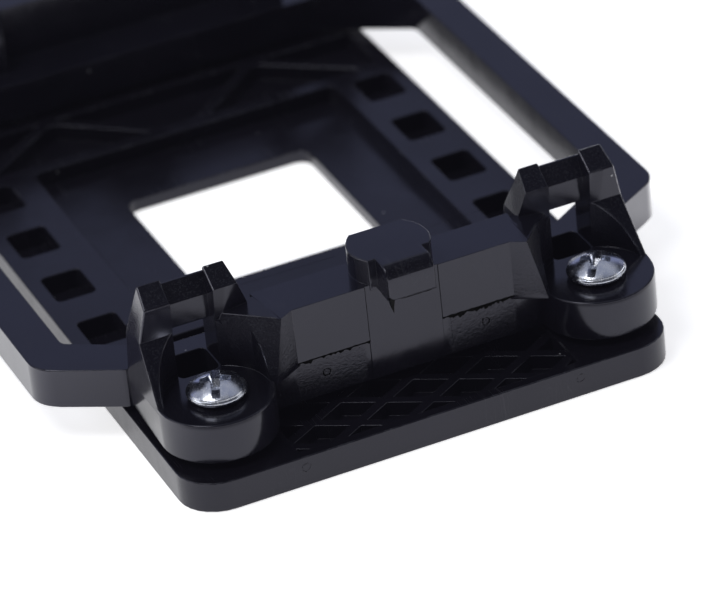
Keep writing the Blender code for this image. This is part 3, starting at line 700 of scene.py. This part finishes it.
fins, torn = bmesh.new(), bmesh.new()
for side in (-1, 1):
    for hand in (-1, 1):
        seed = 11 * side + 5 * hand
        # mould line under the wall's upper panel
        add_burr(
            torn,
            (hand * 13.7 * MM, 0, 10.15 * MM),
            (hand * 4.62 * MM, 0, 10.15 * MM),
            side,
            seed,
        )
        # slide lines on both sides of the middle panel, and below it
        add_flash(
            torn,
            (hand * 4.6 * MM, side * 47.27 * MM, 10.0 * MM),
            (hand * 4.6 * MM, side * 47.27 * MM, 17.2 * MM),
            (0, side, 0), (hand, 0, 0), (0.03 if hand > 0 else 0.05) * MM,
            (0.025 if hand > 0 else 0.07) * MM, seed + 2, 0.0005,
        )
        across = 5.65 if hand > 0 else -4.35
        add_flash(
            torn,
            (across * MM, side * 47.03 * MM, 6.6 * MM),
            (across * MM, side * 47.03 * MM, 10.0 * MM),
            (0, side, 0), (hand, 0, 0), 0.02 * MM, 0.035 * MM, seed + 3, 0.0005,
        )
        # a faint line along the wall's top
        add_flash(
            fins,
            (hand * 18.8 * MM, side * 38.8 * MM, 17.3 * MM),
            (hand * 4.7 * MM, side * 39.1 * MM, 17.3 * MM),
            (0, 0, 1), (0, side, 0), 0.012 * MM, 0.022 * MM, seed + 6, 0.0006,
        )
        # the nose's side lines
        add_flash(
            fins,
            (hand * 2.95 * MM, side * 48.3 * MM, 16.42 * MM),
            (hand * 2.95 * MM, side * 50.45 * MM, 16.42 * MM),
            (hand, 0, 0), (0, 0, -1), 0.10 * MM, 0.045 * MM, seed + 4,
        )
        # rings left by the ejector pins low on the wall
        add_ring(
            torn,
            ((10.0 if hand > 0 else -10.2) * MM, side * 47.05 * MM, 7.75 * MM),
            (0, side, 0), 0.46 * MM, 0.075 * MM,
        )
    # the parting line under the nose
    add_flash(
        torn,
        (-1.5 * MM, side * 50.42 * MM, 16.36 * MM),
        (2.9 * MM, side * 50.42 * MM, 16.36 * MM),
        (0, side, 0), (0, 0, -1), 0.07 * MM, 0.03 * MM, 3 + side, 0.00018,
    )
    # the torn spike of flash under one corner of the nose
    spike = [(-2.98, 50.62, 16.9), (-2.35, 50.55, 16.5), (-2.55, 50.15, 16.5), (-2.98, 49.9, 16.7)]
    tip = torn.verts.new((-2.62 * MM, side * 50.66 * MM, 14.85 * MM))
    base = [torn.verts.new((x * MM, side * y * MM, z * MM)) for x, y, z in spike]
    mid = [
        torn.verts.new(((0.5 * x - 0.5 * 2.70) * MM, side * (0.5 * y + 0.5 * 50.64) * MM, 15.7 * MM))
        for x, y, z in spike
    ]
    for k in range(4):
        torn.faces.new((base[k], base[(k + 1) % 4], mid[(k + 1) % 4], mid[k]))
        torn.faces.new((mid[k], mid[(k + 1) % 4], tip))
    torn.faces.new(base)
# the torn flash, burrs and ejector rings are painted near black: painted shade along the mould lines
for name, fin_shape, paint in (
    ("frame_mould_flash", fins, FRAME_BLACK),
    ("frame_flash_with_painted_shade", torn, FLASH_PAINTED_SHADE),
):
    flash = put(name, finish_mesh(fin_shape, name), paint)
    flash.data.shade_smooth()
    flash.data.set_sharp_from_angle(angle=math.radians(35))
    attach(flash, "frame")

# ---------------------------------------------------------------- backplate
plate = put("backplate_shell", clean_copy("backplate"), PLATE_BLACK)
plate.data.materials.clear()
plate.data.materials.append(PLATE_BLACK)
rounded(plate, 0.16 * MM, 2, fine=lambda at: 23 * MM < abs(at.y) < 55.2 * MM and at.z < 3.7 * MM)
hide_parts("backplate")
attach(plate, "backplate")

trim = bmesh.new()
for side in (-1, 1):
    for x in (-17.4, 17.2):
        add_ring(trim, (x * MM, side * 56.4 * MM, 2.45 * MM), (0, side, 0), 0.52 * MM, 0.06 * MM)
# ejector pins left rings on the underside
for x, y in ((-22, 30), (22, 30), (-22, -30), (22, -30), (0, 30), (0, -30), (0, 50), (0, -50), (-28, 0), (27, 0)):
    add_ring(trim, (x * MM, y * MM, 0.0), (0, 0, -1), 1.5 * MM, 0.03 * MM, 40)
plate_trim = put("backplate_mould_flash", finish_mesh(trim, "backplate_mould_flash"), PLATE_BLACK)
plate_trim.data.shade_smooth()
plate_trim.data.set_sharp_from_angle(angle=math.radians(35))
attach(plate_trim, "backplate")


# ------------------------------------------------------------------- screws
def thread_radius(z, turn, crest, root):
    """A 60-degree thread with flats, at height z and angle turn (radians)."""
    share = (z / PITCH - turn / (2 * math.pi)) % 1.0
    rise = abs(2 * share - 1)  # 0 at the crest's middle, 1 at the root's
    rise = min(1.0, max(0.0, (rise - 0.14) / 0.72))
    return crest + (root - crest) * rise


def lathe(shape, rings, sides, close_top=True, close_bottom=True):
    """Rings of (radius or radius function of the angle, z), from top to bottom."""
    rows = []
    for radius, z in rings:
        row = []
        for i in range(sides):
            a = 2 * math.pi * i / sides
            r = radius(a) if callable(radius) else radius
            row.append(shape.verts.new((r * math.cos(a), r * math.sin(a), z)))
        rows.append(row)
    for upper, lower in zip(rows, rows[1:]):
        for i in range(sides):
            k = (i + 1) % sides
            shape.faces.new((upper[i], lower[i], lower[k], upper[k]))
    if close_top:
        shape.faces.new(rows[0])
    if close_bottom:
        shape.faces.new(list(reversed(rows[-1])))
    return rows


def tapered_box(half_x, half_y, deep_x, deep_y, top, bottom):
    shape = bmesh.new()
    upper = [shape.verts.new((sx * half_x, sy * half_y, top)) for sx, sy in ((-1, -1), (1, -1), (1, 1), (-1, 1))]
    lower = [shape.verts.new((sx * deep_x, sy * deep_y, bottom)) for sx, sy in ((-1, -1), (1, -1), (1, 1), (-1, 1))]
    shape.faces.new(upper)
    shape.faces.new(list(reversed(lower)))
    for k in range(4):
        shape.faces.new((lower[k], lower[(k + 1) % 4], upper[(k + 1) % 4], upper[k]))
    return finish_mesh(shape, "driver_cut")


HEAD_TOP, HEAD_RIM, HEAD_LOW = 12.28 * MM, 10.98 * MM, 9.97 * MM
HEAD_R = 3.53 * MM


def screw_head():
    rise = HEAD_TOP - HEAD_RIM
    ball = (HEAD_R**2 + rise**2) / (2 * rise)
    tilt = math.asin(HEAD_R / ball)
    rings = []
    for k in range(1, 13):
        turn = tilt * k / 13
        rings.append((ball * math.sin(turn), HEAD_TOP - ball * (1 - math.cos(turn))))
    for k in range(0, 9):  # rolled rim
        a = math.radians(60 - 150 * k / 8)
        rings.append((HEAD_R - 0.36 * MM + 0.36 * MM * math.cos(a), 10.66 * MM + 0.40 * MM * math.sin(a)))
    rings += [(3.05 * MM, 10.10 * MM), (2.9 * MM, HEAD_LOW), (1.45 * MM, HEAD_LOW)]
    shape = bmesh.new()
    lathe(shape, rings, 72)
    head = put("screw_head", finish_mesh(shape, "screw_head"))
    cuts = [
        tapered_box(5 * MM, 0.54 * MM, 5 * MM, 0.46 * MM, 13 * MM, HEAD_TOP - 0.95 * MM),
        tapered_box(2.15 * MM, 0.56 * MM, 0.55 * MM, 0.36 * MM, 12.4 * MM, HEAD_TOP - 1.65 * MM),
        tapered_box(0.56 * MM, 2.15 * MM, 0.36 * MM, 0.55 * MM, 12.4 * MM, HEAD_TOP - 1.65 * MM),
        tapered_box(0.98 * MM, 0.98 * MM, 0.42 * MM, 0.42 * MM, 12.4 * MM, HEAD_TOP - 1.75 * MM),
    ]
    cuts[3].transform(Matrix.Rotation(math.radians(45), 4, "Z"))
    for mesh in cuts:
        boolean(head, hide_helper(put("driver_cut", mesh)), "DIFFERENCE")
    shape = bmesh.new()
    shape.from_mesh(head.data)
    bmesh.ops.remove_doubles(shape, verts=shape.verts, dist=2e-6)
    mesh = bpy.data.meshes.new("screw_head")
    shape.to_mesh(mesh)
    shape.free()
    bpy.data.objects.remove(head, do_unlink=True)
    return mesh


def screw_shank(phase):
    shape = bmesh.new()
    sides, per_turn = 36, 10
    low, high = 0.78 * MM, HEAD_LOW + 0.15 * MM
    count = int((high - low) / PITCH * per_turn)
    rings = []
    for k in range(count + 1):
        z = high - (high - low) * k / count
        into_tip = max(0.0, (low + 0.55 * MM - z) / (0.55 * MM))
        into_neck = max(0.0, min(1.0, (z - 8.9 * MM) / (0.5 * MM)))

        def radius(a, z=z, tip=into_tip, neck=into_neck):
            r = thread_radius(z, a + phase, 1.70 * MM, 1.33 * MM)
            r = r + (1.50 * MM - r) * neck
            return min(r, 1.70 * MM - 0.42 * MM * tip)

        rings.append((radius, z))
    lathe(shape, rings, sides)
    return finish_mesh(shape, "screw_shank")


head_mesh = screw_head()
for corner, (side_x, side_y, slot_turn) in CORNERS.items():
    turn = math.radians(slot_turn)
    head = put("screw_head_" + corner, head_mesh.copy(), ZINC)
    head.location = (side_x * HOLE_X, side_y * HOLE_Y, 0.0)
    head.rotation_euler = (0.0, 0.0, turn)
    rounded(head, 0.05 * MM, 2, 24.0)
    shank = put("screw_thread_" + corner, screw_shank(turn), ZINC)
    shank.location = head.location
    shank.rotation_euler = (0.0, 0.0, turn)
    shank.data.shade_smooth()
    shank.data.set_sharp_from_angle(angle=math.radians(50))
    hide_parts("screw_" + corner)
    for piece in (head, shank):
        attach(piece, "screw_" + corner)


# ------------------------------------------------------------------ inserts
def insert_mesh():
    """A knurled, flanged insert with its own internal thread, in step with the screw's."""
    shape = bmesh.new()
    sides = 144
    top, low, shoulder = 4.33 * MM, 0.36 * MM, 1.04 * MM
    outer = []

    def knurl(depth):
        return lambda a: 2.54 * MM - depth * (0.5 + 0.5 * math.cos(36 * a))

    outer.append((2.28 * MM, top))
    outer.append((knurl(0.05 * MM), top - 0.20 * MM))
    outer.append((knurl(0.13 * MM), top - 0.34 * MM))
    outer.append((knurl(0.13 * MM), 2.95 * MM))
    outer.append((2.36 * MM, 2.85 * MM))
    outer.append((2.36 * MM, 2.45 * MM))
    outer.append((knurl(0.13 * MM), 2.35 * MM))
    outer.append((knurl(0.13 * MM), shoulder + 0.08 * MM))
    outer.append((2.48 * MM, shoulder))
    outer.append((3.28 * MM, shoulder))
    outer.append((3.38 * MM, shoulder - 0.10 * MM))
    outer.append((3.38 * MM, low + 0.12 * MM))
    outer.append((3.26 * MM, low))
    outer.append((2.12 * MM, low))
    count = 60
    for k in range(count + 1):
        z = low + 0.10 * MM + (top - low - 0.20 * MM) * k / count
        ends = max(0.0, 1 - (z - low) / (0.35 * MM), 1 - (top - z) / (0.35 * MM))

        def radius(a, z=z, ends=ends):
            r = thread_radius(z, a, 1.86 * MM, 1.50 * MM)
            return max(r, 1.86 * MM * ends + 1.4 * MM * (1 - ends)) + 0.06 * MM * ends

        outer.append((radius, z))
    rows = lathe(shape, outer, sides, close_top=False, close_bottom=False)
    for i in range(sides):
        k = (i + 1) % sides
        shape.faces.new((rows[-1][i], rows[0][i], rows[0][k], rows[-1][k]))
    return finish_mesh(shape, "threaded_insert")


insert = insert_mesh()
insert.shade_smooth()
insert.set_sharp_from_angle(angle=math.radians(40))
for corner, (side_x, side_y, slot_turn) in CORNERS.items():
    piece = put("threaded_insert_" + corner, insert.copy(), BRASS)
    piece.location = (side_x * HOLE_X, side_y * HOLE_Y, 0.0)
    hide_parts("insert_" + corner)
    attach(piece, "backplate")


# ------------------------------------------------------ floor, light, camera
def floor_material():
    made, t = new_material("pale_floor", (0.9, 0.9, 0.9), 0.8)
    at = t.add("ShaderNodeTexCoord").outputs["Object"]
    where = t.add("ShaderNodeSeparateXYZ", {0: at})
    left = t.math(
        "MULTIPLY",
        t.ramp(where.outputs[0], -0.034, -0.068, 0.0, 1.0),
        t.math(
            "MULTIPLY",
            t.ramp(where.outputs[0], -0.150, -0.105, 0.0, 1.0),
            t.ramp(where.outputs[1], -0.085, -0.050, 0.0, 1.0),
        ),
    )
    far = t.math(
        "MAXIMUM",
        t.ramp(where.outputs[0], -0.105, -0.150, 0.0, 1.0),
        t.ramp(where.outputs[0], 0.130, 0.200, 0.0, 1.0),
    )
    right = t.math(
        "MULTIPLY",
        t.ramp(where.outputs[0], 0.0405, 0.0500, 0.0, 1.0),
        t.math(
            "MULTIPLY",
            t.ramp(where.outputs[0], 0.080, 0.110, 1.0, 0.0),
            t.ramp(where.outputs[1], -0.055, -0.035, 0.0, 1.0),
        ),
    )
    fine = t.noise(at, 900.0, 3.0)
    glow = t.math("ADD", 0.74, t.math("ADD", t.math("MULTIPLY", left, 1.05), t.math("MULTIPLY", right, 1.7)))
    glow = t.math("ADD", glow, t.math("MULTIPLY", fine, 0.02))
    glow = t.math("MULTIPLY", glow, t.ramp(far, 0.0, 1.0, 1.0, 0.12, smooth=False))
    colour = t.mix(t.noise(at, 60.0, 3.0), (0.84, 0.84, 0.84, 1.0), (0.88, 0.88, 0.88, 1.0))
    # far off the paper is painted dark: painted shade, seen only in the reflections
    colour = t.mix(t.math("MULTIPLY", far, 0.8), colour, (0.05, 0.05, 0.05, 1.0))
    # what the camera sees is the plain paper; the uneven light is only for the reflections
    seen = t.add("ShaderNodeLightPath").outputs["Is Camera Ray"]
    glow = t.math("ADD", t.math("MULTIPLY", glow, t.math("SUBTRACT", 1.0, seen)), t.math("MULTIPLY", seen, 0.75))
    colour = t.mix(seen, colour, (0.86, 0.86, 0.86, 1.0))
    paper = t.add("ShaderNodeBsdfDiffuse", {"Color": colour})
    light = t.add("ShaderNodeEmission", {"Color": (1.0, 0.995, 0.995, 1.0), "Strength": glow})
    both = t.add("ShaderNodeAddShader", {0: paper.outputs[0], 1: light.outputs[0]})
    surface(t, both)
    return made


shape = bmesh.new()
bmesh.ops.create_grid(shape, x_segments=12, y_segments=12, size=2.0)
floor = put("floor", finish_mesh(shape, "floor"), floor_material())
floor.location = (0.0, 0.0, -0.00004)
# the floor stays under the backplate in every pose
floor.parent = frame["bodies"]["backplate"]

world = bpy.data.worlds.new("soft_studio")
bpy.context.scene.world = world
world.use_nodes = True
world.node_tree.nodes.clear()
t = Tree(world.node_tree)
way = t.add("ShaderNodeTexCoord").outputs["Generated"]
heading = t.add("ShaderNodeSeparateXYZ", {0: way})
# a dim blue-grey wall of light behind, a paler ceiling above it, dark in front and to the sides
rise = heading.outputs[2]
panel = t.math(
    "MULTIPLY",
    t.ramp(heading.outputs[1], 0.30, 0.62),
    t.ramp(rise, 0.02, 0.16),
)
ceiling = t.math("MULTIPLY", t.ramp(rise, 0.50, 0.80), t.ramp(heading.outputs[1], -0.46, -0.06))
edge_light = t.math("MULTIPLY", t.ramp(rise, -0.05, 0.02), t.ramp(rise, 0.05, 0.14, 1.0, 0.0))
edge_light = t.math("MULTIPLY", edge_light, t.ramp(heading.outputs[0], -0.85, -0.55))
below = t.ramp(rise, -0.05, 0.0, 1.0, 0.0)
sky = t.mix(panel, (0.050, 0.052, 0.060, 1.0), (0.245, 0.270, 0.425, 1.0))
front = t.math("MULTIPLY", t.ramp(heading.outputs[1], -0.55, -0.85), t.ramp(rise, 0.14, 0.26))
sky = t.mix(front, sky, (0.105, 0.108, 0.125, 1.0))
sky = t.mix(ceiling, sky, (0.330, 0.350, 0.420, 1.0))
sky = t.mix(t.math("MULTIPLY", edge_light, 0.5), sky, (0.80, 0.80, 0.82, 1.0))
sky = t.mix(below, sky, (0.80, 0.80, 0.81, 1.0))
ground = t.add("ShaderNodeBackground", {"Color": sky, "Strength": 1.0})
out = t.add("ShaderNodeOutputWorld")
world.node_tree.links.new(ground.outputs[0], out.inputs[0])


def softbox(name, at, aim, wide, tall, watts, colour=(1, 1, 1)):
    lamp = bpy.data.lights.new(name, "AREA")
    lamp.shape = "RECTANGLE"
    lamp.size, lamp.size_y = wide, tall
    lamp.energy = watts
    lamp.color = colour
    made = bpy.data.objects.new(name, lamp)
    bpy.context.scene.collection.objects.link(made)
    made.location = at
    made.rotation_mode = "QUATERNION"
    made.rotation_quaternion = (Vector(at) - Vector(aim)).to_track_quat("Z", "Y")
    return made


softbox("overhead_softbox", (-0.34, -0.12, 0.72), (0, -0.03, 0), 0.30, 0.30, 1.6)
softbox("left_softbox", (-0.75, 0.10, 0.40), (0, 0, 0.01), 0.45, 0.35, 1.0)
softbox("right_fill", (0.70, -0.30, 0.30), (0, 0, 0.01), 0.30, 0.30, 0.25, (0.9, 0.93, 1.0))

focus = bpy.data.objects.new("focus_point", None)
bpy.context.scene.collection.objects.link(focus)
focus.location = (0.0, -0.049, 0.014)
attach(focus, "frame")

# the photograph's viewing angle: a long lens from the front left, 31 degrees up
AZIMUTH, ELEVATION, ROLL = -20.94, 30.985, -0.11
FOCAL_PX, CENTRE_X, CENTRE_Y = 4737.35, 362.5, 292.74
TARGET, DISTANCE = Vector((2.049, -29.116, 5.0)) * MM, 560.94 * MM
a, e = math.radians(AZIMUTH), math.radians(ELEVATION)
back = Vector((math.sin(a) * math.cos(e), -math.cos(a) * math.cos(e), math.sin(e)))
ahead = -back
right = ahead.cross(Vector((0, 0, 1))).normalized()
down = ahead.cross(right)
c, s = math.cos(ROLL), math.sin(ROLL)
right, down = c * right - s * down, s * right + c * down
lens = bpy.data.cameras.new("camera")
camera = bpy.data.objects.new("camera", lens)
bpy.context.scene.collection.objects.link(camera)
placed = Matrix.Identity(4)
for i, column in enumerate((right, -down, back)):
    for k in range(3):
        placed[k][i] = column[k]
for k in range(3):
    placed[k][3] = (TARGET + back * DISTANCE)[k]
camera.matrix_world = placed
lens.sensor_width = 36.0
lens.lens = FOCAL_PX / 709 * 36.0
lens.shift_x = (354.5 - CENTRE_X) / 709
lens.shift_y = (CENTRE_Y - 300) / 709
lens.clip_start = 0.01
lens.dof.use_dof = True
lens.dof.focus_object = focus
lens.dof.aperture_fstop = 34.0
bpy.context.scene.camera = camera

# seen from below, the floor steps aside
watch = floor.driver_add("hide_render").driver
watch.type = "SCRIPTED"
height = watch.variables.new()
height.name = "height"
height.type = "TRANSFORMS"
height.targets[0].id = camera
height.targets[0].transform_type = "LOC_Z"
height.targets[0].transform_space = "WORLD_SPACE"
watch.expression = "height < 0"

scene = bpy.context.scene
scene.view_settings.view_transform = "Standard"
scene.view_settings.look = "None"
scene.view_settings.exposure = 0.0
scene.view_settings.gamma = 1.0
